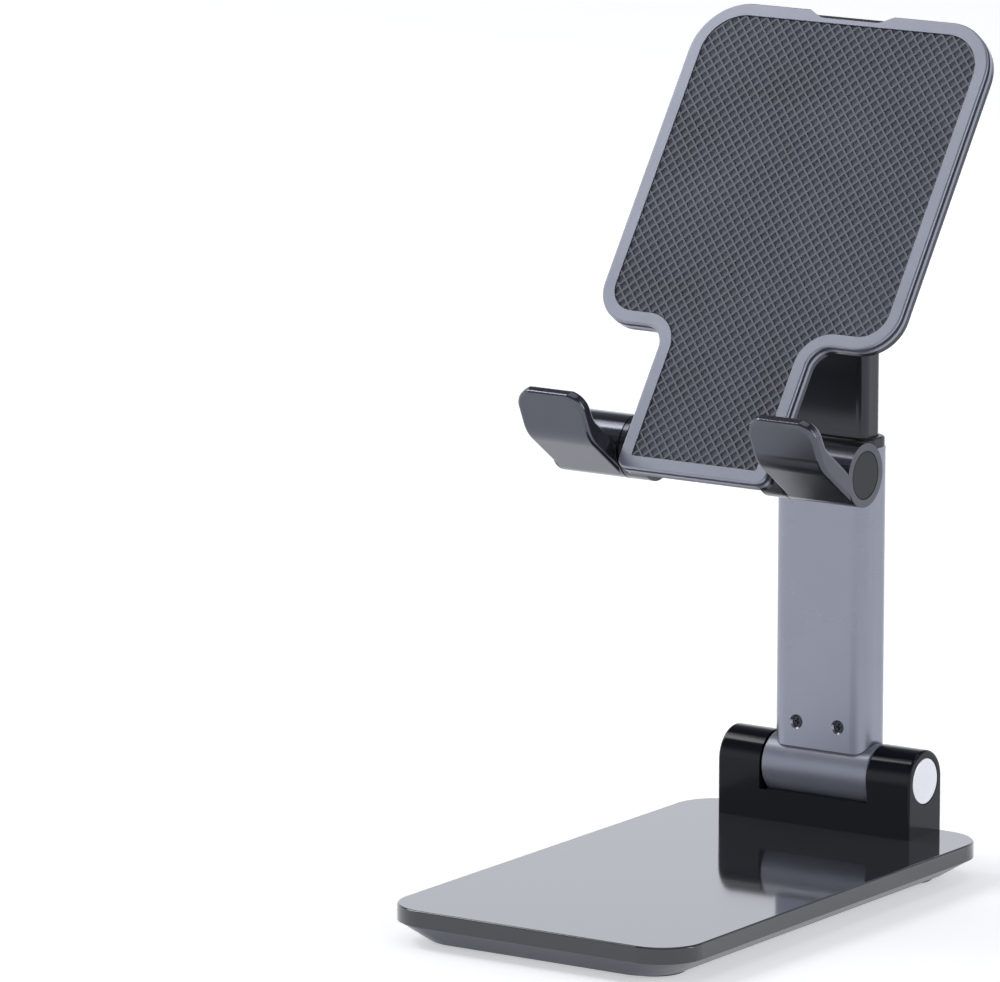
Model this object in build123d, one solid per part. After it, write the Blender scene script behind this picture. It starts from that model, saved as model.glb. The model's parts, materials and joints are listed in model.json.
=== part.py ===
"""Folding phone stand: a weighted base, a telescopic arm on a friction hinge, and a tilting
T-shaped tray with two folding hooks.

Frame: X across the stand, the front faces -Y, Z up, in millimetres. The origin is on the table, in
the middle of the stand's footprint. The stand is drawn open: arm upright and fully extended, tray
leaning back, hooks down.

The arm's pieces are drawn about the base hinge's axis and the tray's pieces about the tray hinge's
axis, with the tray upright. Each is then moved to its place in the open stand.
"""

from build123d import *
import os

os.makedirs("parts", exist_ok=True)

# Overall: the depth runs from the base's front edge to the tray's rearmost edge
OVERALL_DEPTH = 122.1
TILT = 35.3  # the tray's lean from upright, degrees

# Base
BASE_WIDTH, BASE_LENGTH, BASE_CORNER = 70.0, 119.0, 9.5
FOOT_HEIGHT, COVER_HEIGHT, TOP_HEIGHT = 0.8, 3.7, 3.3
FOOT_RADIUS = 6.5
BASE_WALL, BASE_ROOF, COVER_FLOOR = 1.6, 1.6, 1.2
COVER_INSET_SIDE, COVER_INSET_END = 6.0, 3.5
SCREW_X, SCREW_SETBACK = 21.5, 13.0
POST_RADIUS = 3.4
WEIGHT_WIDTH, WEIGHT_LENGTH, WEIGHT_HEIGHT = 56.0, 83.0, 4.0

# Base hinge: the block's ears are round-topped about the axis
EAR_RADIUS, HINGE_HEIGHT = 6.4, 11.3
BLOCK_HALF, EAR_INNER = 23.0, 12.95
BLOCK_WALL_HEIGHT = 6.4
BARREL_RADIUS, BARREL_HALF = 6.3, 12.6
BASE_PIN_RADIUS, CAP_RADIUS, CAP_DEPTH = 2.45, 4.8, 1.0
BLOCK_SCREW_X = 18.0

# Arm: flat round-edged tubes, heights measured from the base hinge's axis
SLEEVE_WIDTH, SLEEVE_DEPTH, SLEEVE_EDGE = 22.6, 10.0, 3.6
SLEEVE_BOTTOM, SLEEVE_TOP, SLEEVE_CORNER = 4.7, 68.0, 2.5
BORE_WIDTH, BORE_DEPTH, BORE_EDGE = 20.2, 7.8, 2.4
TONGUE_TOP = 14.2
SLEEVE_SCREW_X, SLEEVE_SCREW_Z = 4.95, 9.9
SLEEVE_SCREW_HEAD, SLEEVE_SCREW_SHANK, SLEEVE_SINK = 1.05, 0.8, 1.5
COLLAR_WIDTH, COLLAR_DEPTH, COLLAR_EDGE = 21.1, 8.5, 2.85
COLLAR_LENGTH, COLLAR_LIP = 7.9, 2.0
LIP_WIDTH, LIP_DEPTH, LIP_EDGE = 22.2, 9.6, 3.4
SNAP_WIDTH, SNAP_HEIGHT, SNAP_BELOW_TOP = 8.8, 0.9, 3.2
INNER_WIDTH, INNER_DEPTH, INNER_EDGE, INNER_WALL = 19.4, 7.0, 2.0, 1.2
ARM_LENGTH, SLIDE_TRAVEL = 127.5, 41.3
SHOE_GAP, SHOE_HEIGHT, PLUG_LENGTH = 0.4, 4.0, 9.0
STOP_HALF, STOP_BOTTOM, STOP_TOP, STOP_FRONT, STOP_BACK = 6.0, -4.7, 3.0, 5.5, 6.9

# Tray hinge
HEAD_RADIUS, HEAD_HALF, TRAY_EAR_INNER, TRAY_EAR_END = 6.0, 12.4, 12.75, 24.0
TRAY_PIN_RADIUS, TRAY_CAP_LENGTH, TRAY_CAP_DOME = 2.0, 4.2, 3.4

# Tray, heights measured along it from the tray hinge's axis
TRAY_WIDTH, STEM_WIDTH = 70.3, 35.0
TRAY_TOP, WING_BOTTOM, TRAY_BOTTOM = 26.5, -47.2, -78.5
TOP_CORNER, WING_CORNER, NECK_CORNER, STEM_CORNER = 11.6, 8.5, 4.5, 2.2
FACE_AHEAD, FRAME_THICKNESS, TRAY_THICKNESS = 10.9, 2.2, 5.2
FRAME_EDGE = 0.5
RIM_WIDTH, POCKET_DEPTH, PAD_THICKNESS = 2.75, 1.0, 0.85
NOTCH_WIDTH, NOTCH_DEPTH, NOTCH_SLOPE, NOTCH_BEND = 20.4, 1.75, 3.4, 3.0
GROOVE_DEPTH, GROOVE_HEIGHT, SHELL_BEVEL, SHELL_WALL = 0.9, 0.9, 1.7, 1.4

# Hooks: the profile is measured ahead of the hook's axis and up along the tray
HOOK_AXIS_BEHIND_FACE, HOOK_AXIS_BELOW = 6.7, 71.0
HOOK_BARREL, HOOK_INNER, HOOK_OUTER = 6.45, 19.2, 35.2
HOOK_ARM_THICKNESS, HOOK_LINER = 4.4, 0.7
HOOK_CORNER, HOOK_EDGE, HOOK_LIP_SLOPE = 4.2, 1.0, 29.7
HOOK_TIP = (24.2, -1.2)
KNUCKLE_INNER, KNUCKLE_OUTER = 13.6, 18.9
HOOK_PIN_RADIUS = 1.75

# Fits
RUNNING = 0.05  # radial clearance of a pin in its bore
EASY = 0.1  # clearance of a piece that sits in a recess

BASE_FRONT = -OVERALL_DEPTH / 2
BASE_REAR = BASE_FRONT + BASE_LENGTH
BASE_MIDDLE = (BASE_FRONT + BASE_REAR) / 2
TOP_SHELL_Z = FOOT_HEIGHT + COVER_HEIGHT
BASE_TOP = TOP_SHELL_Z + TOP_HEIGHT
HINGE_Y, HINGE_Z = BASE_REAR - EAR_RADIUS, BASE_TOP + HINGE_HEIGHT
BARREL_BORE = BASE_PIN_RADIUS + RUNNING
TRAY_BORE = TRAY_PIN_RADIUS + RUNNING
HOOK_BORE = HOOK_PIN_RADIUS + RUNNING
FACE_Y = -FACE_AHEAD
FRAME_BACK_Y = FACE_Y + FRAME_THICKNESS
SHELL_BACK_Y = FACE_Y + TRAY_THICKNESS
HOOK_Y, HOOK_Z = FACE_Y + HOOK_AXIS_BEHIND_FACE, -HOOK_AXIS_BELOW
SHOE_BOTTOM = TONGUE_TOP + SHOE_GAP + SLIDE_TRAVEL

AT_BASE_HINGE = Pos(0, HINGE_Y, HINGE_Z)
AT_TRAY_HINGE = Pos(0, HINGE_Y, HINGE_Z + ARM_LENGTH) * Rot(-TILT, 0, 0)
BOTTOM_UP = (Align.CENTER, Align.CENTER, Align.MIN)


# Shared shapes

def slab(width, length, corner, low, high, middle=BASE_MIDDLE):
    """A flat block with rounded upright corners, lying on the base's centre line."""
    return Pos(0, middle, low) * extrude(RectangleRounded(width, length, corner), high - low)


def box(x, y, z):
    """A block between the low and high ends given for each direction."""
    size = [high - low for low, high in (x, y, z)]
    return Pos(x[0], y[0], z[0]) * Box(*size, align=(Align.MIN, Align.MIN, Align.MIN))


def rod(radius, start, end, y=0.0, z=0.0):
    """A round bar along X."""
    return Pos(start, y, z) * Rot(0, 90, 0) * Cylinder(radius, end - start, align=BOTTOM_UP)


def ring(inner, outer, start, end, y=0.0, z=0.0):
    return rod(outer, start, end, y, z) - rod(inner, start, end, y, z)


def post(radius, x, y, low, high):
    return Pos(x, y, low) * Cylinder(radius, high - low, align=BOTTOM_UP)


def stud(radius, x, z, front, back):
    """A round bar along Y."""
    return Pos(x, front, z) * Rot(-90, 0, 0) * Cylinder(radius, back - front, align=BOTTOM_UP)


def bar(width, depth, edge, low, high):
    """An upright flat bar with rounded edges, centred on the arm's line."""
    return Pos(0, 0, low) * extrude(RectangleRounded(width, depth, edge), high - low)


def across(profile, start, end):
    """A profile drawn in Y and Z, drawn out along X."""
    return extrude(Plane.YZ.offset(start) * profile, end - start, dir=(1, 0, 0))


def plate(outline, front, back):
    """An outline drawn in X and Z, drawn out along Y from front to back."""
    flat = Plane(origin=(0, back, 0), x_dir=(1, 0, 0), z_dir=(0, -1, 0))
    return extrude(flat * outline, back - front, dir=(0, -1, 0))


def one(shape):
    """The single solid of a shape."""
    return shape.solids().sort_by(lambda solid: solid.volume)[-1]


def screw_places():
    ends = (BASE_FRONT + SCREW_SETBACK, BASE_REAR - SCREW_SETBACK)
    return [(x, y) for y in ends for x in (-SCREW_X, SCREW_X)]


def mirrored(piece):
    return mirror(piece, Plane.YZ)


# Base

def base_top_shell():
    shell = slab(BASE_WIDTH, BASE_LENGTH, BASE_CORNER, TOP_SHELL_Z, BASE_TOP)
    shell = fillet(shell.edges().group_by(Axis.Z)[-1], 0.45)
    roof = BASE_TOP - BASE_ROOF
    shell -= slab(BASE_WIDTH - 2 * BASE_WALL, BASE_LENGTH - 2 * BASE_WALL,
                  BASE_CORNER - BASE_WALL, TOP_SHELL_Z, roof)
    for x, y in screw_places():
        shell += post(POST_RADIUS, x, y, TOP_SHELL_Z, roof)
        shell -= post(1.25, x, y, TOP_SHELL_Z, BASE_TOP - 0.8)
    for x in (-BLOCK_SCREW_X, BLOCK_SCREW_X):
        shell -= post(1.6, x, HINGE_Y, TOP_SHELL_Z, BASE_TOP)
    return one(shell)


def base_bottom_cover():
    low, high = FOOT_HEIGHT, TOP_SHELL_Z - EASY
    edge = 0.3
    wide = Pos(0, BASE_MIDDLE, high) * RectangleRounded(
        BASE_WIDTH - 2 * edge, BASE_LENGTH - 2 * edge, BASE_CORNER - edge)
    narrow = Pos(0, BASE_MIDDLE, low) * RectangleRounded(
        BASE_WIDTH - 2 * COVER_INSET_SIDE, BASE_LENGTH - 2 * COVER_INSET_END, 8.0)
    cover = loft([narrow, wide])
    floor = low + COVER_FLOOR
    cover -= slab(WEIGHT_WIDTH + 0.8, BASE_LENGTH - 10.0, 5.0, floor, high)
    for x, y in screw_places():
        cover += post(POST_RADIUS, x, y, floor, high)
        cover -= post(1.4, x, y, low, high)
        cover -= post(2.5, x, y, low, low + 1.6)
    return one(cover)


def counterweight():
    low = FOOT_HEIGHT + COVER_FLOOR + EASY
    weight = slab(WEIGHT_WIDTH, WEIGHT_LENGTH, 3.0, low, low + WEIGHT_HEIGHT, BASE_MIDDLE)
    return one(chamfer(weight.edges().group_by(Axis.Z)[-1], 0.4))


def rubber_feet():
    feet = []
    for x, y in screw_places():
        foot = post(FOOT_RADIUS, x, y, 0, FOOT_HEIGHT)
        feet.append(fillet(foot.edges().group_by(Axis.Z)[0], 0.35))
    return Compound(children=feet)


def base_screws():
    screws = []
    for x, y in screw_places():
        head = post(2.3, x, y, FOOT_HEIGHT + EASY, FOOT_HEIGHT + 1.55)
        shank = post(1.2, x, y, FOOT_HEIGHT + 1.55, BASE_TOP - 1.0)
        screws.append(one(head + shank - post(0.8, x, y, FOOT_HEIGHT, FOOT_HEIGHT + 0.8)))
    return Compound(children=screws)


def hinge_block():
    ears = rod(EAR_RADIUS, -BLOCK_HALF, BLOCK_HALF)
    ears += box((-BLOCK_HALF, BLOCK_HALF), (-EAR_RADIUS, EAR_RADIUS), (-HINGE_HEIGHT, 0))
    wall_top = BLOCK_WALL_HEIGHT - HINGE_HEIGHT
    reach = 2 * EAR_RADIUS
    block = ears - box((-EAR_INNER, EAR_INNER), (-reach, reach), (wall_top, reach))
    block -= rod(BARREL_RADIUS + 0.3, -EAR_INNER, EAR_INNER)
    block -= rod(BARREL_BORE, -BLOCK_HALF, BLOCK_HALF)
    for side in (-1, 1):
        ends = sorted((side * (BLOCK_HALF - CAP_DEPTH - 0.05), side * BLOCK_HALF))
        block -= rod(CAP_RADIUS + 0.08, *ends)
        block -= post(1.25, side * BLOCK_SCREW_X, 0, -HINGE_HEIGHT, -HINGE_HEIGHT + 7.5)
    block = one(block)
    corners = block.edges().filter_by(Axis.Z).filter_by(
        lambda edge: abs(abs(edge.center().X) - BLOCK_HALF) < 0.01)
    return AT_BASE_HINGE * one(fillet(corners, 0.6))


def hinge_block_screws():
    screws = []
    for x in (-BLOCK_SCREW_X, BLOCK_SCREW_X):
        under = BASE_TOP - BASE_ROOF
        head = post(2.6, x, HINGE_Y, under - 1.5, under)
        shank = post(1.2, x, HINGE_Y, under, BASE_TOP + 6.5)
        screws.append(one(head + shank - post(0.9, x, HINGE_Y, under - 1.5, under - 0.7)))
    return Compound(children=screws)


def base_hinge_pin():
    half = BLOCK_HALF - CAP_DEPTH - 0.15
    pin = rod(BASE_PIN_RADIUS, -half, half)
    return AT_BASE_HINGE * one(chamfer(pin.edges().filter_by(GeomType.CIRCLE), 0.3))


def base_hinge_cap():
    cap = rod(CAP_RADIUS, BLOCK_HALF - CAP_DEPTH, BLOCK_HALF)
    rim = cap.edges().filter_by(GeomType.CIRCLE).sort_by(Axis.X)[-1]
    return AT_BASE_HINGE * one(fillet(rim, 0.3))


def base_hinge_washers():
    washer = ring(BARREL_BORE, 5.4, BARREL_HALF + 0.02, EAR_INNER - 0.02)
    return Compound(children=[AT_BASE_HINGE * s for s in (one(washer), one(mirrored(washer)))])


# Lower arm

def arm_knuckle():
    knuckle = rod(BARREL_RADIUS, -BARREL_HALF, BARREL_HALF)
    knuckle = fillet(knuckle.edges().filter_by(GeomType.CIRCLE), 0.35)
    knuckle += bar(BORE_WIDTH - 0.2, BORE_DEPTH - 0.2, BORE_EDGE - 0.1, 0, TONGUE_TOP)
    knuckle -= rod(BARREL_BORE, -BARREL_HALF, BARREL_HALF)
    knuckle -= box((-STOP_HALF - 0.05, STOP_HALF + 0.05), (STOP_FRONT, 8), (-6, STOP_TOP + 0.05))
    for x in (-SLEEVE_SCREW_X, SLEEVE_SCREW_X):
        knuckle -= stud(SLEEVE_SCREW_SHANK + RUNNING, x, SLEEVE_SCREW_Z, -BORE_DEPTH / 2, 2.5)
    return AT_BASE_HINGE * one(knuckle)


def stop_tab():
    tab = box((-STOP_HALF, STOP_HALF), (STOP_FRONT, STOP_BACK), (STOP_BOTTOM, STOP_TOP))
    outer = tab.faces().sort_by(Axis.Y)[-1].edges()
    return AT_BASE_HINGE * one(fillet(outer, 0.5))


def sleeve_collar_seat():
    """The widened mouth of the sleeve, which the collar fills."""
    low = SLEEVE_TOP - COLLAR_LENGTH - EASY
    return bar(COLLAR_WIDTH + 0.1, COLLAR_DEPTH + 0.1, COLLAR_EDGE + 0.05, low, SLEEVE_TOP)


def snap_slot(height, front, back, half_width):
    middle = SLEEVE_TOP - SNAP_BELOW_TOP
    z = (middle - height / 2, middle + height / 2)
    return box((-half_width, half_width), (front, back), z)


def countersink(x):
    """The bevelled mouth of a screw hole in the sleeve's front."""
    at = Pos(x, -SLEEVE_DEPTH / 2, SLEEVE_SCREW_Z) * Rot(-90, 0, 0)
    return at * Cone(SLEEVE_SINK, SLEEVE_SCREW_HEAD + EASY, 0.4, align=BOTTOM_UP)


def arm_sleeve():
    sleeve = bar(SLEEVE_WIDTH, SLEEVE_DEPTH, SLEEVE_EDGE, SLEEVE_BOTTOM, SLEEVE_TOP)
    sleeve = fillet(sleeve.edges().group_by(Axis.Z)[-1], 0.35)
    height = SLEEVE_TOP + 10 - SLEEVE_BOTTOM
    front_view = Pos(0, SLEEVE_BOTTOM + height / 2) * RectangleRounded(
        SLEEVE_WIDTH, height, SLEEVE_CORNER)
    sleeve &= plate(front_view, -SLEEVE_DEPTH, SLEEVE_DEPTH)
    sleeve -= bar(BORE_WIDTH, BORE_DEPTH, BORE_EDGE, 0, SLEEVE_TOP)
    sleeve -= sleeve_collar_seat()
    sleeve -= rod(BARREL_RADIUS + RUNNING, -SLEEVE_WIDTH, SLEEVE_WIDTH)
    sleeve -= snap_slot(SNAP_HEIGHT, 0, SLEEVE_DEPTH, SNAP_WIDTH / 2)
    for x in (-SLEEVE_SCREW_X, SLEEVE_SCREW_X):
        sleeve -= stud(SLEEVE_SCREW_HEAD + EASY, x, SLEEVE_SCREW_Z, -SLEEVE_DEPTH / 2,
                       -BORE_DEPTH / 2 + 0.1)
        sleeve -= countersink(x)
    return AT_BASE_HINGE * one(sleeve)


def sleeve_screws():
    screws = []
    seat = -BORE_DEPTH / 2 + 0.1
    for x in (-SLEEVE_SCREW_X, SLEEVE_SCREW_X):
        screw = stud(SLEEVE_SCREW_HEAD, x, SLEEVE_SCREW_Z, seat - 0.6, seat)
        screw += stud(SLEEVE_SCREW_SHANK, x, SLEEVE_SCREW_Z, seat, 2.3)
        for width, height in ((1.4, 0.35), (0.35, 1.4)):
            screw -= box((x - width / 2, x + width / 2), (seat - 0.6, seat - 0.2),
                         (SLEEVE_SCREW_Z - height / 2, SLEEVE_SCREW_Z + height / 2))
        screws.append(AT_BASE_HINGE * one(screw))
    return Compound(children=screws)


def sleeve_collar():
    low, high = SLEEVE_TOP - COLLAR_LENGTH, SLEEVE_TOP + COLLAR_LIP
    lip = bar(LIP_WIDTH, LIP_DEPTH, LIP_EDGE, SLEEVE_TOP, high)
    collar = fillet(lip.edges().group_by(Axis.Z)[-1], 0.6)
    collar += bar(COLLAR_WIDTH, COLLAR_DEPTH, COLLAR_EDGE, low, SLEEVE_TOP)
    collar -= bar(INNER_WIDTH + 0.3, INNER_DEPTH + 0.3, INNER_EDGE + 0.15, low, high)
    back = COLLAR_DEPTH / 2
    collar += snap_slot(SNAP_HEIGHT - 0.2, back - 0.3, back + 0.35, SNAP_WIDTH / 2 - 0.2)
    return AT_BASE_HINGE * one(collar)


# Sliding arm

def inner_arm():
    top = ARM_LENGTH - HEAD_RADIUS * 0.5
    arm = bar(INNER_WIDTH, INNER_DEPTH, INNER_EDGE, SHOE_BOTTOM + SHOE_HEIGHT, top)
    arm -= bar(INNER_WIDTH - 2 * INNER_WALL, INNER_DEPTH - 2 * INNER_WALL, 0.8,
               SHOE_BOTTOM, top)
    arm -= rod(HEAD_RADIUS + RUNNING, -INNER_WIDTH, INNER_WIDTH, 0, ARM_LENGTH)
    return AT_BASE_HINGE * one(arm)


def slide_shoe():
    """The plastic end of the inner arm, which rubs in the sleeve and stops under the collar."""
    width, depth = INNER_WIDTH - 2 * INNER_WALL - 0.2, INNER_DEPTH - 2 * INNER_WALL - 0.2
    top = SHOE_BOTTOM + SHOE_HEIGHT
    shoe = bar(BORE_WIDTH - 0.3, BORE_DEPTH - 0.3, BORE_EDGE - 0.15, SHOE_BOTTOM, top)
    shoe += bar(width, depth, 0.7, top, top + PLUG_LENGTH)
    shoe -= box((-5.1, 5.1), (BORE_DEPTH / 2 - 0.7, 9), (SHOE_BOTTOM + 0.3, top - 0.3))
    return AT_BASE_HINGE * one(shoe)


def slide_spring():
    """The bowed steel strip that presses the shoe against the sleeve."""
    low, high = SHOE_BOTTOM + 0.35, SHOE_BOTTOM + SHOE_HEIGHT - 0.35
    back = BORE_DEPTH / 2 - 0.65
    bow = 0.45
    line = ThreePointArc((-5.0, back), (0, back + bow), (5.0, back))
    under = ThreePointArc((5.0, back + 0.12), (0, back + bow + 0.12), (-5.0, back + 0.12))
    face = make_face([line, Line(line @ 1, under @ 0), under, Line(under @ 1, line @ 0)])
    return AT_BASE_HINGE * one(Pos(0, 0, low) * extrude(face, high - low))


def arm_head():
    head = rod(HEAD_RADIUS, -HEAD_HALF, HEAD_HALF)
    head = fillet(head.edges().filter_by(GeomType.CIRCLE), 0.3)
    width, depth = INNER_WIDTH - 2 * INNER_WALL - 0.2, INNER_DEPTH - 2 * INNER_WALL - 0.2
    head += bar(width, depth, 0.7, -HEAD_RADIUS - PLUG_LENGTH, 0)
    head -= rod(TRAY_BORE, -HEAD_HALF, HEAD_HALF)
    slot = box((-6.0, 6.0), (HEAD_RADIUS - 0.9, HEAD_RADIUS + 1), (-0.8, 0.8))
    head -= Rot(18, 0, 0) * slot
    return AT_BASE_HINGE * Pos(0, 0, ARM_LENGTH) * one(head)


# Tray

def tray_outline(inset):
    """The T-shaped outline, moved inwards all round."""
    half, stem = TRAY_WIDTH / 2 - inset, STEM_WIDTH / 2 - inset
    top, wing, foot = TRAY_TOP - inset, WING_BOTTOM + inset, TRAY_BOTTOM + inset
    right = [(half, top), (half, wing), (stem, wing), (stem, foot)]
    left = [(-x, z) for x, z in reversed(right)]
    face = Polygon(*right, *left, align=None)
    radii = {(half, top): TOP_CORNER - inset, (half, wing): WING_CORNER - inset,
             (stem, wing): NECK_CORNER + inset, (stem, foot): max(STEM_CORNER - inset, 0.4)}
    for (x, z), radius in radii.items():
        pair = face.vertices().filter_by(
            lambda v, x=x, z=z: abs(abs(v.X) - x) < 1e-3 and abs(v.Y - z) < 1e-3)
        face = fillet(pair, radius)
    return face


def finger_notch():
    """A shallow dip with sloping ends in the frame's top edge, which bares the shell behind it."""
    half = NOTCH_WIDTH / 2
    top, low = TRAY_TOP + 1, TRAY_TOP - NOTCH_DEPTH
    notch = Polygon((-half, TRAY_TOP), (-half, top), (half, top), (half, TRAY_TOP),
                    (half - NOTCH_SLOPE, low), (NOTCH_SLOPE - half, low), align=None)
    floor = notch.vertices().filter_by(lambda v: abs(v.Y - low) < 1e-3)
    return plate(fillet(floor, NOTCH_BEND), FACE_Y - 1, FRAME_BACK_Y)


def frame_screw_places():
    wings = [(x, z) for z in (TRAY_TOP - 9, WING_BOTTOM + 9) for x in (-27, 27)]
    return wings + [(x, TRAY_BOTTOM + 20) for x in (-9, 9)]


def tray_frame():
    frame = plate(tray_outline(0), FACE_Y, FACE_Y + FRAME_EDGE)
    frame = fillet(frame.faces().sort_by(Axis.Y)[0].edges(), 0.35)
    groove_back = FACE_Y + FRAME_EDGE + GROOVE_HEIGHT
    frame += plate(tray_outline(GROOVE_DEPTH), FACE_Y + FRAME_EDGE, groove_back)
    frame += plate(tray_outline(0), groove_back, FRAME_BACK_Y)
    frame -= finger_notch()
    frame -= plate(tray_outline(RIM_WIDTH), FACE_Y - 1, FACE_Y + POCKET_DEPTH)
    for x, z in frame_screw_places():
        frame -= stud(1.3, x, z, FACE_Y, FRAME_BACK_Y)
    return AT_TRAY_HINGE * one(frame)


def tray_pad():
    back = FACE_Y + POCKET_DEPTH
    pad = plate(tray_outline(RIM_WIDTH + 0.1), back - PAD_THICKNESS, back)
    return AT_TRAY_HINGE * one(pad)


def pedestal():
    """The raised foot that carries the tray's ears, flared where it meets the shell."""
    wall = 2.6
    side = Polygon((SHELL_BACK_Y - 1, HEAD_RADIUS + wall), (SHELL_BACK_Y, HEAD_RADIUS + wall),
                   (0, HEAD_RADIUS), (0, -HEAD_RADIUS), (SHELL_BACK_Y, -HEAD_RADIUS - wall),
                   (SHELL_BACK_Y - 1, -HEAD_RADIUS - wall), align=None)
    return across(side, -TRAY_EAR_END, TRAY_EAR_END)


def ears():
    inner = TRAY_EAR_END - TRAY_CAP_LENGTH
    return rod(HEAD_RADIUS, -inner, inner)


def hook_knuckle():
    knuckle = rod(HOOK_BARREL, KNUCKLE_INNER, KNUCKLE_OUTER, HOOK_Y, HOOK_Z)
    stem_side = STEM_WIDTH / 2 + 0.25
    knuckle -= box((0, stem_side), (FACE_Y - 1, FRAME_BACK_Y), (HOOK_Z - 9, HOOK_Z + 9))
    return knuckle


def tray_shell():
    shell = plate(tray_outline(0.15), FRAME_BACK_Y, SHELL_BACK_Y)
    shell = chamfer(shell.faces().sort_by(Axis.Y)[-1].edges(), SHELL_BEVEL)
    shell += pedestal()
    flare = shell.edges().filter_by(lambda edge: abs(edge.center().Y - SHELL_BACK_Y) < 1e-3)
    flare = flare.filter_by(lambda edge: edge.center().Z > -10 and edge.length < 60
                            and abs(edge.center().X) < TRAY_EAR_END + 0.1
                            and abs(edge.center().Z) < HEAD_RADIUS + 3)
    shell = fillet(flare, 2.6)
    shell += ears()
    shell += hook_knuckle() + mirrored(hook_knuckle())
    shell -= shell_hollow()
    return AT_TRAY_HINGE * one(shell)


def shell_hollow():
    """What is cut from the tray's shell: its inside, the arm's way and the pins' bores."""
    inside = plate(tray_outline(SHELL_BEVEL + SHELL_WALL), FRAME_BACK_Y, SHELL_BACK_Y - SHELL_WALL)
    for x, z in frame_screw_places():
        inside -= stud(2.4, x, z, FRAME_BACK_Y, SHELL_BACK_Y)
        inside += stud(0.95, x, z, FRAME_BACK_Y, SHELL_BACK_Y - 0.8)
    knuckle = box((-KNUCKLE_OUTER, KNUCKLE_OUTER), (FRAME_BACK_Y, 0), (HOOK_Z - 7, HOOK_Z + 7))
    inside -= knuckle
    reach = 3 * HEAD_RADIUS
    middle = (-TRAY_EAR_INNER, TRAY_EAR_INNER)
    way = box(middle, (SHELL_BACK_Y, reach), (-reach, INNER_DEPTH / 2 + 0.4))
    way += rod(HEAD_RADIUS + 0.35, *middle)
    end = TRAY_EAR_END - TRAY_CAP_LENGTH
    way += rod(TRAY_BORE, -end, end)
    outside = box((end, 40), (SHELL_BACK_Y + 0.6, reach), (-reach, reach))
    seat = ring(0.01, HEAD_RADIUS + 4, end, 40) & outside
    for bore in (rod(HOOK_BORE, KNUCKLE_INNER + 1, KNUCKLE_OUTER, HOOK_Y, HOOK_Z), seat):
        way += bore + mirrored(bore)
    return way + inside


def tray_ear_cap():
    """The domed end of the right ear, over the pin's end."""
    start = TRAY_EAR_END - TRAY_CAP_LENGTH
    cap = rod(HEAD_RADIUS, start, TRAY_EAR_END)
    rim = cap.edges().filter_by(GeomType.CIRCLE).sort_by(Axis.X)[-1]
    cap = fillet(rim, TRAY_CAP_DOME)
    cap &= box((start, TRAY_EAR_END), (SHELL_BACK_Y + 0.65, 9), (-9, 9))
    return AT_TRAY_HINGE * one(cap)


def tray_hinge_pin():
    half = TRAY_EAR_END - TRAY_CAP_LENGTH - 0.1
    pin = rod(TRAY_PIN_RADIUS, -half, half)
    return AT_TRAY_HINGE * one(chamfer(pin.edges().filter_by(GeomType.CIRCLE), 0.3))


def tray_hinge_washers():
    washer = ring(TRAY_BORE, 5.0, HEAD_HALF + 0.02, TRAY_EAR_INNER - 0.02)
    return Compound(children=[AT_TRAY_HINGE * s for s in (one(washer), one(mirrored(washer)))])


def tray_screws():
    screws = []
    head_front = FACE_Y + POCKET_DEPTH + 0.02
    for x, z in frame_screw_places():
        screw = stud(1.2, x, z, head_front, FRAME_BACK_Y)
        screw += stud(0.9, x, z, FRAME_BACK_Y, SHELL_BACK_Y - 1.0)
        screws.append(AT_TRAY_HINGE * one(screw))
    return Compound(children=screws)


# Hooks, drawn on the right and mirrored for the left

def hook_point(ahead, up):
    """A point of the hook's profile in the tray's Y and Z."""
    return HOOK_Y - ahead, HOOK_Z + up


def hook_profile():
    low, high = -HOOK_BARREL, HOOK_ARM_THICKNESS - HOOK_BARREL
    outline = Polygon(*[hook_point(*p) for p in (
        (0, low), (15.0, low), HOOK_TIP, (22.6, 1.1), (16.4, high), (3.0, high), (0, 0))],
        align=None)
    bends = {(15.0, low): 9.0, (16.4, high): 5.0}
    for place, radius in bends.items():
        y, z = hook_point(*place)
        at = outline.vertices().filter_by(
            lambda v, y=y, z=z: abs(v.X - y) < 1e-3 and abs(v.Y - z) < 1e-3)
        outline = fillet(at, radius)
    return outline


def lip_corners():
    """A block as wide as the hook, along its sloping lip, whose upright corners round the tip."""
    width, length = HOOK_OUTER - HOOK_INNER, 60
    outline = Pos(0, length / 2) * RectangleRounded(width, length, HOOK_CORNER)
    tip = Pos((HOOK_INNER + HOOK_OUTER) / 2, *hook_point(*HOOK_TIP))
    return tip * Rot(-HOOK_LIP_SLOPE, 0, 0) * Pos(0, 0, -length / 2) * extrude(outline, length)


def hook_blank():
    blank = across(hook_profile(), HOOK_INNER, HOOK_OUTER) & lip_corners()
    ahead = blank.edges().filter_by(lambda edge: edge.center().Y < HOOK_Y - HOOK_BARREL + 0.3)
    return fillet(ahead, HOOK_EDGE)


def hook():
    body = hook_blank() + rod(HOOK_BARREL, HOOK_INNER, HOOK_OUTER, HOOK_Y, HOOK_Z)
    body -= rod(HOOK_BORE, HOOK_INNER, HOOK_OUTER - 1.6, HOOK_Y, HOOK_Z)
    body -= rod(CAP_RADIUS + 0.08, HOOK_OUTER - 1.05, HOOK_OUTER, HOOK_Y, HOOK_Z)
    return AT_TRAY_HINGE * one(body - hook_liner_seat(0.08))


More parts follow.
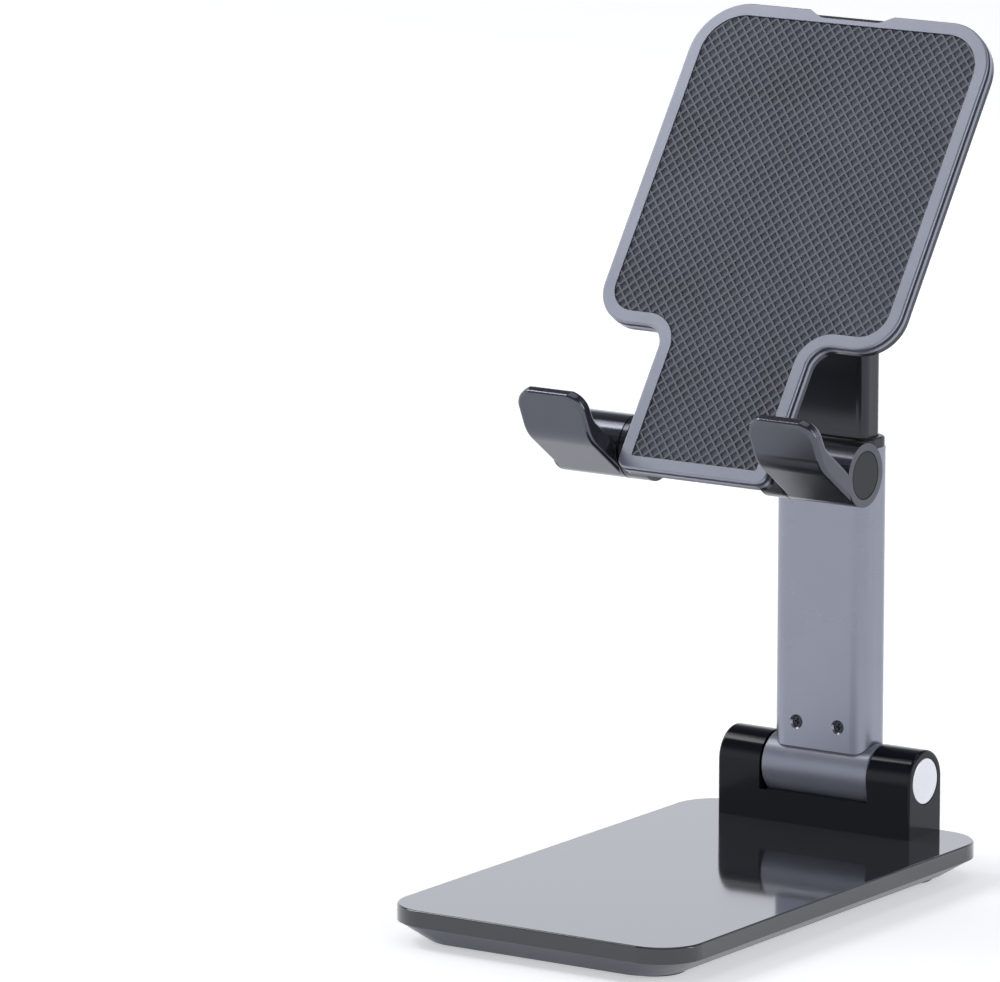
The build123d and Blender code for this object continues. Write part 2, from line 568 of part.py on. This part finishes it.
def hook_liner_seat(grow):
    """The strip on the hook's inner side, where the phone's lower edge rests."""
    high = HOOK_ARM_THICKNESS - HOOK_BARREL
    line = FilletPolyline(hook_point(7.3, high), hook_point(16.4, high),
                          hook_point(21.4, 0.48), radius=5.0)
    depth = HOOK_LINER + grow
    strip = make_face(offset(line, depth, side=Side.BOTH, kind=Kind.INTERSECTION).edges())
    margin = 2.2 - grow
    return across(strip, HOOK_INNER + margin, HOOK_OUTER - margin)


def hook_liner():
    return AT_TRAY_HINGE * one(hook_liner_seat(0) & hook_blank())


def hook_cap():
    cap = rod(CAP_RADIUS, HOOK_OUTER - 1.0, HOOK_OUTER, HOOK_Y, HOOK_Z)
    rim = cap.edges().filter_by(GeomType.CIRCLE).sort_by(Axis.X)[-1]
    return AT_TRAY_HINGE * one(fillet(rim, 0.25))


def hook_pin():
    pin = rod(HOOK_PIN_RADIUS, KNUCKLE_INNER + 1.1, HOOK_OUTER - 1.8, HOOK_Y, HOOK_Z)
    return AT_TRAY_HINGE * one(chamfer(pin.edges().filter_by(GeomType.CIRCLE), 0.25))


def hook_washers():
    washer = ring(HOOK_BORE, 5.2, KNUCKLE_OUTER + 0.02, HOOK_INNER - 0.02, HOOK_Y, HOOK_Z)
    return Compound(children=[AT_TRAY_HINGE * s for s in (one(washer), one(mirrored(washer)))])


SINGLE = [base_top_shell, base_bottom_cover, counterweight, rubber_feet, base_screws, hinge_block,
          hinge_block_screws, base_hinge_pin, base_hinge_washers, arm_knuckle, stop_tab,
          arm_sleeve, sleeve_screws, sleeve_collar, inner_arm, slide_shoe, slide_spring, arm_head,
          tray_frame, tray_pad, tray_shell, tray_hinge_pin, tray_hinge_washers, tray_screws,
          hook_washers]
PAIRED = [base_hinge_cap, tray_ear_cap, hook, hook_liner, hook_cap, hook_pin]

for make in SINGLE:
    export_step(make(), f"parts/{make.__name__}.step")
for make in PAIRED:
    right = make()
    export_step(right, f"parts/{make.__name__}_right.step")
    export_step(mirrored(right), f"parts/{make.__name__}_left.step")
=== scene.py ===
"""The folding phone stand's looks: finishes for the CAD parts, the tray's lattice pad, a pale floor,
soft studio light and a camera at the photograph's angle. Lengths are in metres."""

import json
import math

import bmesh
import bpy
from mathutils import Matrix, Vector


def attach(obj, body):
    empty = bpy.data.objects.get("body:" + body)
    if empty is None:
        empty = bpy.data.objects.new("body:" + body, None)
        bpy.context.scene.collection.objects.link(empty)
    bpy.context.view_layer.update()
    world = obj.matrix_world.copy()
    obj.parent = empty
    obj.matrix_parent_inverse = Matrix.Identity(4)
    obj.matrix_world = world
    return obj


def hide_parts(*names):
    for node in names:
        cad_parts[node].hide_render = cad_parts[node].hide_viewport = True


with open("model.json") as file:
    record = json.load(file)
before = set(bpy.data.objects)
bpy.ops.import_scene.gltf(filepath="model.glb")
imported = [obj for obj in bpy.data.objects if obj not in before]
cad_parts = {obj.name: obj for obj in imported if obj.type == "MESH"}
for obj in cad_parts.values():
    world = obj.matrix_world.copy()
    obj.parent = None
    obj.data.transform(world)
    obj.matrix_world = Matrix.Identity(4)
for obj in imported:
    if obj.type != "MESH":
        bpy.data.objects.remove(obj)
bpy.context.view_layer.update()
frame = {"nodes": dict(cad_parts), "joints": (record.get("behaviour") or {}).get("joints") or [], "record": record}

MM = 0.001
NODES = frame["nodes"]
JOINTS = {joint["name"]: joint for joint in frame["joints"]}

# Camera: a long lens from the front right, a little above
CAMERA_TARGET = Vector((-0.0215, -0.0382, 0.0890))
CAMERA_DISTANCE = 1.874
CAMERA_AZIMUTH, CAMERA_ELEVATION, CAMERA_ROLL = 33.7, 11.1, 0.13
LENS, SENSOR = 342.0, 36.0
CLIP_START, CLIP_END = 0.05, 60.0

# Studio: a pale floor, three soft boxes and a world that is dimmer overhead
FLOOR_HALF, FLOOR_COLOUR, FLOOR_GLOW = 9.0, (0.80, 0.80, 0.805), 0.44
LIGHT_AIM = Vector((0, 0, 0.09))
LIGHTS = {  # name: place, size, power in watts
    "key": ((-1.3, -0.2, 1.4), (0.8, 0.8), 14),
    "top": ((0.0, 0.3, 3.0), (2.4, 2.4), 14),
    "side": ((1.6, 0.5, 0.7), (0.25, 1.2), 4),
}
WORLD_STRENGTH = 1.36
WORLD_LOW = (0.28, (0.90, 0.93, 1.0))  # place on the world's ramp, colour
WORLD_MIDDLE = (0.50, (0.22, 0.225, 0.25))
WORLD_HIGH = (0.80, (0.085, 0.088, 0.10))

# The tray's own directions: it leans back by the angle that brings it upright along the arm
TILT = math.radians(JOINTS["tray_tilt"]["range_deg"][1])
TRAY_PIVOT = Vector(JOINTS["tray_tilt"]["pos_m"])
TRAY_SPACE = Matrix.Translation(TRAY_PIVOT) @ Matrix.Rotation(-TILT, 4, "X")

# Pad lattice: diamond pits, a little taller than wide, between narrow ridges. The mouth and the
# floor are shares of the diamond. The slab reaches past the pad's edge and back, and is cut to it.
PIT_HALF_WIDTH, PIT_HALF_HEIGHT, PIT_DEPTH = 1.223 * MM, 1.307 * MM, 0.46 * MM
PIT_MOUTH, PIT_FLOOR = 0.80, 0.72
LATTICE_BELOW_FACE = 0.02 * MM
SPARE_PITS, SPARE_BACK = 2, 1.0 * MM
SHADED_WALL_SLOT = 1  # the ridges and the pits' floors have the pad's first material; the pits' walls have the second, with painted shade
SEAM_GAP = 1e-7

# The blue cast of the stand's greys, and what the noise, grain and clear coat of a finish share
CAST = (0.955, 1.0, 1.19)
NOISE_ROUGHNESS, GRAIN_STRENGTH, COAT_ROUGHNESS = 0.55, 0.3, 0.06


# Materials

def new_material(name):
    """An empty material with one shader, and that shader."""
    material = bpy.data.materials.new(name)
    material.use_nodes = True
    nodes = material.node_tree.nodes
    nodes.clear()
    shader = nodes.new("ShaderNodeBsdfPrincipled")
    output = nodes.new("ShaderNodeOutputMaterial")
    material.node_tree.links.new(shader.outputs["BSDF"], output.inputs["Surface"])
    return material, shader


def noise(material, scale, detail):
    """A noise in the part's own coordinates. Scale is in features per metre."""
    tree = material.node_tree
    place = tree.nodes.new("ShaderNodeTexCoord")
    texture = tree.nodes.new("ShaderNodeTexNoise")
    texture.inputs["Scale"].default_value = scale
    texture.inputs["Detail"].default_value = detail
    texture.inputs["Roughness"].default_value = NOISE_ROUGHNESS
    tree.links.new(place.outputs["Object"], texture.inputs["Vector"])
    return texture.outputs["Fac"]


def ramp(material, value, low, high, start=0.3, end=0.7):
    """A value or colour that runs from low to high as the noise rises."""
    tree = material.node_tree
    node = tree.nodes.new("ShaderNodeValToRGB")
    node.color_ramp.elements[0].position = start
    node.color_ramp.elements[1].position = end
    for element, tone in zip(node.color_ramp.elements, (low, high)):
        element.color = (*tone, 1.0) if isinstance(tone, tuple) else (tone, tone, tone, 1.0)
    tree.links.new(value, node.inputs["Fac"])
    return node.outputs["Color"]


def bump(material, shader, height, distance):
    """Raises the surface by the height, up to the distance in metres."""
    tree = material.node_tree
    node = tree.nodes.new("ShaderNodeBump")
    node.inputs["Strength"].default_value = GRAIN_STRENGTH
    node.inputs["Distance"].default_value = distance
    tree.links.new(height, node.inputs["Height"])
    tree.links.new(node.outputs["Normal"], shader.inputs["Normal"])


def tint(colour, factor):
    """The colour, lighter or darker by the factor."""
    return tuple(min(1.0, channel * factor) for channel in colour)


def finish(name, colour, metallic=0.0, rough=(0.3, 0.36), vary=0.06, smudge=60, grain=4000,
           grain_height=0.004, coat=0.0, specular=0.5):
    """A moulded, blasted or polished surface.

    Broad smudges move the colour and the roughness a little, and a fine grain raises the surface.
    Smudge and grain are in features per metre, and the grain's height is in millimetres.
    """
    material, shader = new_material(name)
    broad = noise(material, smudge, detail=4.0)
    fine = noise(material, grain, detail=2.0)
    links = material.node_tree.links
    links.new(ramp(material, broad, tint(colour, 1 - vary), tint(colour, 1 + vary)),
              shader.inputs["Base Color"])
    links.new(ramp(material, broad, *rough, start=0.25, end=0.75), shader.inputs["Roughness"])
    shader.inputs["Metallic"].default_value = metallic
    shader.inputs["Coat Weight"].default_value = coat
    shader.inputs["Coat Roughness"].default_value = COAT_ROUGHNESS
    shader.inputs["Specular IOR Level"].default_value = specular
    bump(material, shader, fine, grain_height * MM)
    return material


def ink(level):
    """A cool grey of that level, with the stand's blue cast."""
    return tuple(level * share for share in CAST)


MATERIALS = {
    "base_finish": finish("base_top_gloss", ink(0.028), rough=(0.06, 0.09), smudge=35,
                          grain_height=0.0006, coat=0.45),
    "cover_plastic": finish("cover_satin", ink(0.120), metallic=0.8, rough=(0.26, 0.34)),
    "rubber": finish("foot_rubber", ink(0.018), rough=(0.75, 0.88), grain=2500,
                     grain_height=0.03),
    "steel": finish("zinc_steel", ink(0.30), metallic=1.0, rough=(0.25, 0.35)),
    "weight_iron": finish("weight_iron", ink(0.10), metallic=0.8, rough=(0.5, 0.65)),
    "dark_gloss": finish("hinge_gloss", (0.0035, 0.0045, 0.0085), rough=(0.10, 0.15),
                         specular=0.22),
    "bright_cap": finish("silver_disc", (0.74, 0.755, 0.79), metallic=0.85, rough=(0.34, 0.40),
                         grain=3500),
    "knuckle_grey": finish("knuckle_gloss", ink(0.240), metallic=0.3, rough=(0.26, 0.32)),
    "sleeve_metal": finish("sleeve_anodised", ink(0.280), metallic=0.9, rough=(0.25, 0.30),
                           smudge=25, grain=1500, grain_height=0.0012),
    "black_plastic": finish("black_satin", ink(0.008), rough=(0.25, 0.33), specular=0.35),
    "arm_dark": finish("arm_gunmetal", ink(0.040), metallic=0.6, rough=(0.12, 0.17), smudge=25,
                       grain=1500, grain_height=0.001),
    "rim_plastic": finish("rim_satin", ink(0.275), metallic=0.7, rough=(0.36, 0.42)),
    "shell_plastic": finish("shell_gloss", ink(0.070), metallic=0.8, rough=(0.16, 0.21),
                            grain_height=0.0015),
    "pad_silicone": finish("pad_ridges", ink(0.122), rough=(0.55, 0.65), vary=0.12, grain=2500,
                           grain_height=0.02),
    "hook_gloss": finish("hook_gloss", ink(0.105), metallic=0.9, rough=(0.14, 0.19),
                         grain_height=0.0015),
    "liner_silicone": finish("liner_silicone", ink(0.010), rough=(0.6, 0.7), grain=2500,
                             grain_height=0.03),
    "cap_dark": finish("hook_disc", ink(0.020), specular=0.2, rough=(0.32, 0.38)),
}
# Painted shade: the pits' walls are painted near black, standing for the shade that falls into the pits
PIT_WALL_PAINTED_SHADE = finish("pad_pit_walls_painted_shade", ink(0.006), rough=(0.75, 0.85), grain=2500, grain_height=0.02)
# Painted shade: the sleeve's screws are darkened to stand for the shade down in their countersunk holes
SCREW_PAINTED_SHADE = finish("screw_painted_shade", ink(0.060), metallic=1.0, rough=(0.30, 0.40))


def dress_nodes():
    """Gives every CAD node the material of its slot, and the sleeve's screws a darker one that paints the shade in
    their holes.
    """
    for entry in frame["record"]["subparts"]:
        node = NODES[entry["node"]]
        is_screw = entry["node"] == "sleeve_screws"
        node.data.materials.clear()
        node.data.materials.append(SCREW_PAINTED_SHADE if is_screw else MATERIALS[entry["material_slot"]])
        shading = node.modifiers.new("weighted", "WEIGHTED_NORMAL")
        shading.keep_sharp = True


# Lattice pad

def tray_flat(node):
    """A node's lowest and highest corner in the tray's own directions."""
    inverse = TRAY_SPACE.inverted()
    points = [inverse @ vertex.co for vertex in NODES[node].data.vertices]
    low = Vector(min(point[i] for point in points) for i in range(3))
    high = Vector(max(point[i] for point in points) for i in range(3))
    return low, high


def add_pit(body, centre, rim):
    """Fills the diamond between four rim points with a pit: ridge tops, walls and floor. The walls get the slot
    whose material paints the pits' shade.
    """
    deep = Vector((0, PIT_DEPTH, 0))
    mouth = [body.verts.new(centre + (v.co - centre) * PIT_MOUTH) for v in rim]
    floor = [body.verts.new(centre + (v.co - centre) * PIT_FLOOR + deep) for v in rim]
    for k in range(4):
        after = (k + 1) % 4
        body.faces.new((rim[k], rim[after], mouth[after], mouth[k]))
        wall = body.faces.new((mouth[k], mouth[after], floor[after], floor[k]))
        wall.material_index = SHADED_WALL_SLOT
    body.faces.new(floor)


def close_back(body, back):
    """Draws the sheet's open edge straight back and closes it, so that the slab is solid."""
    edges = [edge for edge in body.edges if edge.is_boundary]
    skirt = bmesh.ops.extrude_edge_only(body, edges=edges)["geom"]
    for vertex in (item for item in skirt if isinstance(item, bmesh.types.BMVert)):
        vertex.co.y = back
    rest = [edge for edge in body.edges if edge.is_boundary]
    bmesh.ops.triangle_fill(body, edges=rest, use_beauty=True)
    bmesh.ops.recalc_face_normals(body, faces=body.faces)


def lattice_slab(low, high, face):
    """A closed slab whose front is a lattice of ridges and diamond pits."""
    body = bmesh.new()
    across = math.ceil((high.x - low.x) / 2 / PIT_HALF_WIDTH) + SPARE_PITS
    along = math.ceil((high.z - low.z) / PIT_HALF_HEIGHT) + SPARE_PITS
    middle = Vector(((low.x + high.x) / 2, 0, low.z - PIT_HALF_HEIGHT))
    corners = {}

    def place(i, j):
        return middle + Vector((i * PIT_HALF_WIDTH, face, j * PIT_HALF_HEIGHT))

    def corner(i, j):
        if (i, j) not in corners:
            corners[i, j] = body.verts.new(place(i, j))
        return corners[i, j]

    for i in range(-across, across + 1):
        for j in range(along + 1):
            if (i + j) % 2:
                continue
            rim = [corner(i + 1, j), corner(i, j + 1), corner(i - 1, j), corner(i, j - 1)]
            add_pit(body, place(i, j), rim)
    close_back(body, high.y + SPARE_BACK)
    mesh = bpy.data.meshes.new("lattice_slab")
    body.to_mesh(mesh)
    body.free()
    mesh.transform(TRAY_SPACE)
    return mesh


def closed_copy(node):
    """The node's mesh with its seams joined, to cut with."""
    mesh = NODES[node].data.copy()
    body = bmesh.new()
    body.from_mesh(mesh)
    bmesh.ops.remove_doubles(body, verts=body.verts, dist=SEAM_GAP)
    body.to_mesh(mesh)
    body.free()
    return mesh


def make_pad():
    """Cuts the lattice slab to the pad's outline and puts it in the plain pad's place."""
    low, high = tray_flat("tray_pad")
    pad = bpy.data.objects.new("lattice_pad", lattice_slab(low, high, low.y + LATTICE_BELOW_FACE))
    cutter = bpy.data.objects.new("pad_outline", closed_copy("tray_pad"))
    for thing in (pad, cutter):
        bpy.context.scene.collection.objects.link(thing)
        thing.data.materials.clear()
        thing.data.materials.append(MATERIALS["pad_silicone"])
    pad.data.materials.append(PIT_WALL_PAINTED_SHADE)
    cut = pad.modifiers.new("outline", "BOOLEAN")
    cut.operation = "INTERSECT"
    cut.solver = "MANIFOLD"
    cut.object = cutter
    depsgraph = bpy.context.evaluated_depsgraph_get()
    result = bpy.data.meshes.new_from_object(pad.evaluated_get(depsgraph))
    pad.modifiers.clear()
    pad.data = result
    bpy.data.objects.remove(cutter)
    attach(pad, "tray")
    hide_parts("tray_pad")


# Studio

def make_floor():
    """A pale floor that glows a little, so that it stays white round the stand."""
    mesh = bpy.data.meshes.new("floor")
    corners = [(x * FLOOR_HALF, y * FLOOR_HALF, 0) for x, y in ((-1, -1), (1, -1), (1, 1), (-1, 1))]
    mesh.from_pydata(corners, [], [(0, 1, 2, 3)])
    floor = bpy.data.objects.new("floor", mesh)
    bpy.context.scene.collection.objects.link(floor)
    paper = finish("floor_paper", FLOOR_COLOUR, rough=(0.75, 0.85), vary=0.004, smudge=3,
                   grain=300, grain_height=0.02)
    shader = paper.node_tree.nodes["Principled BSDF"]
    shader.inputs["Emission Color"].default_value = (1.0, 1.0, 1.0, 1.0)
    shader.inputs["Emission Strength"].default_value = FLOOR_GLOW
    mesh.materials.append(paper)


def area_light(name, place, size, power):
    """A soft box at the place, facing the stand. Its size is its width and height."""
    data = bpy.data.lights.new(name, "AREA")
    data.shape = "RECTANGLE"
    data.size, data.size_y = size
    data.energy = power
    light = bpy.data.objects.new(name, data)
    light.location = place
    aim = LIGHT_AIM - Vector(place)
    light.rotation_euler = aim.to_track_quat("-Z", "Y").to_euler()
    bpy.context.scene.collection.objects.link(light)


def make_world():
    """Cool white near the horizon, dimmer overhead, so that polished edges show a gradient."""
    world = bpy.data.worlds.new("studio")
    world.use_nodes = True
    tree = world.node_tree
    place = tree.nodes.new("ShaderNodeTexCoord")
    axes = tree.nodes.new("ShaderNodeSeparateXYZ")
    tone = tree.nodes.new("ShaderNodeValToRGB")
    tree.links.new(place.outputs["Generated"], axes.inputs["Vector"])
    tree.links.new(axes.outputs["Z"], tone.inputs["Fac"])
    tree.links.new(tone.outputs["Color"], tree.nodes["Background"].inputs["Color"])
    stops = tone.color_ramp.elements
    for stop, (position, colour) in zip(stops, (WORLD_LOW, WORLD_HIGH)):
        stop.position, stop.color = position, (*colour, 1.0)
    stops.new(WORLD_MIDDLE[0]).color = (*WORLD_MIDDLE[1], 1.0)
    tree.nodes["Background"].inputs["Strength"].default_value = WORLD_STRENGTH
    bpy.context.scene.world = world
    bpy.context.scene.view_settings.view_transform = "Standard"


def make_lights():
    """The three soft boxes given at the top."""
    for name, (place, size, power) in LIGHTS.items():
        area_light(name, place, size, power)


def make_camera():
    """The camera on its line through the target, at the distance and turn given at the top."""
    data = bpy.data.cameras.new("camera")
    data.lens, data.sensor_width = LENS, SENSOR
    camera = bpy.data.objects.new("camera", data)
    turn, rise = math.radians(CAMERA_AZIMUTH), math.radians(CAMERA_ELEVATION)
    back = Vector((math.sin(turn) * math.cos(rise), -math.cos(turn) * math.cos(rise),
                   math.sin(rise)))
    camera.location = CAMERA_TARGET + back * CAMERA_DISTANCE
    aim = (-back).to_track_quat("-Z", "Y").to_matrix().to_4x4()
    roll = Matrix.Rotation(math.radians(CAMERA_ROLL), 4, "Z")
    camera.rotation_euler = (aim @ roll).to_euler()
    data.clip_start, data.clip_end = CLIP_START, CLIP_END
    bpy.context.scene.collection.objects.link(camera)
    bpy.context.scene.camera = camera


dress_nodes()
make_pad()
make_floor()
make_world()
make_lights()
make_camera()
